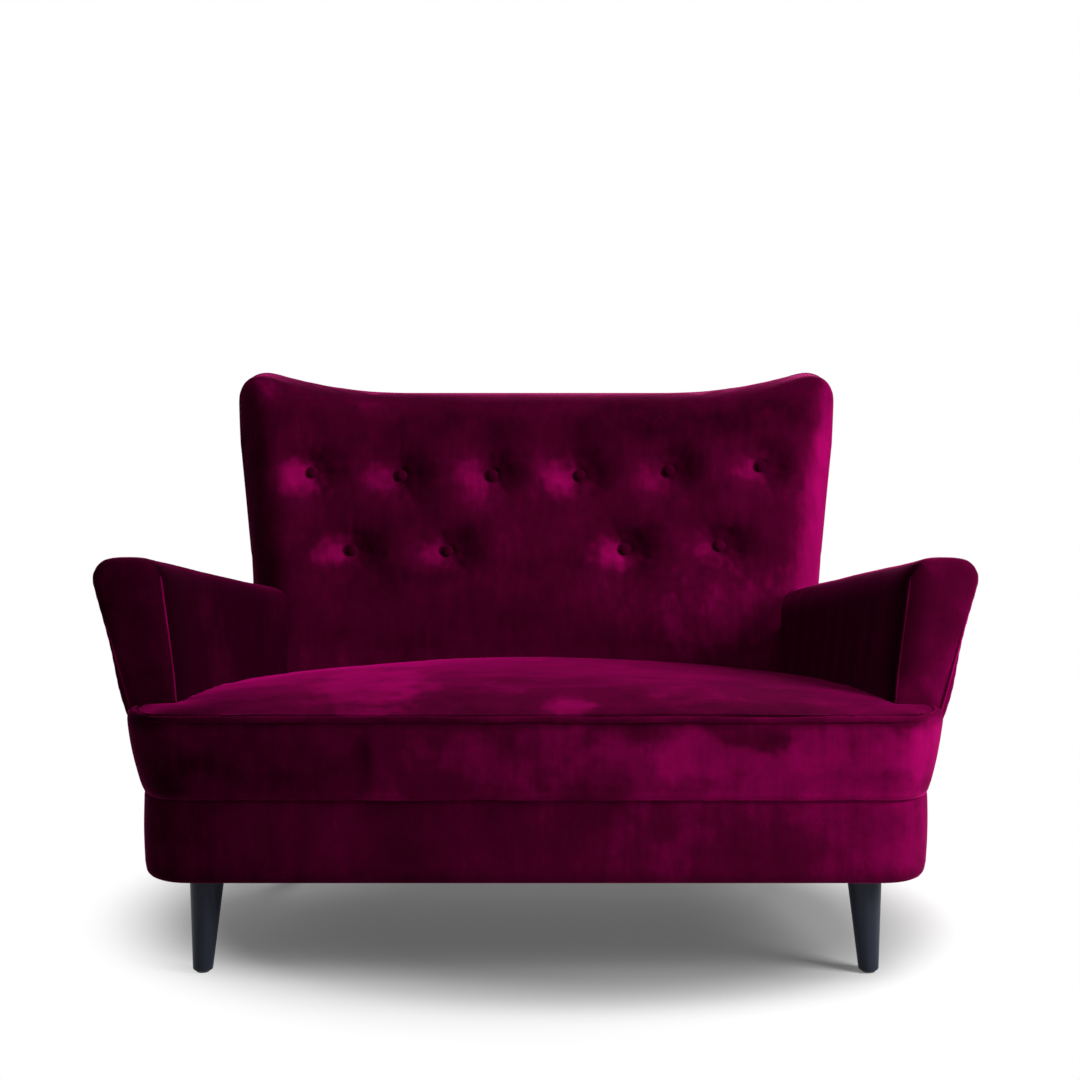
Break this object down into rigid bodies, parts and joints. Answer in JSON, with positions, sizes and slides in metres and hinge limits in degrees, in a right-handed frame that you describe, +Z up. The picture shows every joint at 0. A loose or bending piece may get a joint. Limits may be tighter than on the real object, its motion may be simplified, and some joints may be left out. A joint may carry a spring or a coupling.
{
  "type": "two-seater sofa",
  "caption": "Compact upholstered two-seater sofa with a winged, button-tufted back, flared sloping arms, a T-shaped crowned seat, a deep upholstered base and slim tapered legs.",
  "frame": {"origin": "on the floor, under the middle of the sofa's outer box", "axes": "+X to the right as seen from in front, along the sofa; the front faces -Y; +Z up"},
  "size_m": [1.3696, 0.7913, 0.9185],
  "materials": {
    "velvet": "deep magenta pile velvet, matte, with a sheen at grazing angles",
    "foam": "pale open-cell upholstery foam",
    "wadding": "white bonded fibre wadding",
    "dust_cloth": "thin black non-woven cloth",
    "hessian": "plain woven jute cloth",
    "webbing": "woven upholstery webbing",
    "twine": "waxed polyester button twine",
    "hardwood": "planed beech, unfinished",
    "hardboard": "smooth brown fibreboard",
    "leg_lacquer": "turned hardwood, blue-black satin lacquer",
    "glide_plastic": "black moulded plastic",
    "toggle_plastic": "natural moulded plastic",
    "zinc_steel": "zinc-plated steel",
    "spring_steel": "oil-tempered spring steel"
  },
  "bodies": {
    "root": {"rail_cover_front": "velvet", "rail_cover_rear": "velvet", "rail_cover_left": "velvet", "rail_cover_right": "velvet", "inside_back_cover": "velvet", "outside_back_cover": "velvet", "back_buttons_upper": "velvet", "back_buttons_lower": "velvet", "inside_arm_cover_left": "velvet", "inside_arm_cover_right": "velvet", "outside_arm_cover_left": "velvet", "outside_arm_cover_right": "velvet", "arm_facing_left": "velvet", "arm_facing_right": "velvet", "arm_welt_left": "velvet", "arm_welt_right": "velvet", "seat_cover": "velvet", "seat_border_cover": "velvet", "seat_welt": "velvet", "back_foam": "foam", "arm_foam_left": "foam", "arm_foam_right": "foam", "seat_foam": "foam", "rail_wadding": "wadding", "dust_cover": "dust_cloth", "back_cloth": "hessian", "seat_deck_cloth": "hessian", "back_straps": "webbing", "button_twines": "twine", "frame_dowels": "hardwood", "front_rail": "hardwood", "rear_rail": "hardwood", "side_rail_left": "hardwood", "side_rail_right": "hardwood", "centre_rail": "hardwood", "spring_rail": "hardwood", "corner_blocks": "hardwood", "back_lower_rail": "hardwood", "back_top_rail": "hardwood", "back_post_left": "hardwood", "back_post_right": "hardwood", "back_uprights": "hardwood", "arm_posts": "hardwood", "arm_top_rails": "hardwood", "arm_lower_rails": "hardwood", "outside_back_board": "hardboard", "arm_inner_boards": "hardboard", "arm_outer_boards": "hardboard", "leg_front_left": "leg_lacquer", "leg_front_right": "leg_lacquer", "leg_rear_left": "leg_lacquer", "leg_rear_right": "leg_lacquer", "foot_glides": "glide_plastic", "button_toggles": "toggle_plastic", "leg_plates": "zinc_steel", "plate_screws": "zinc_steel", "leg_bolts": "zinc_steel", "spring_clips": "zinc_steel", "spring_tie_wires": "zinc_steel", "seat_springs": "spring_steel"}
  },
  "joints": []
}
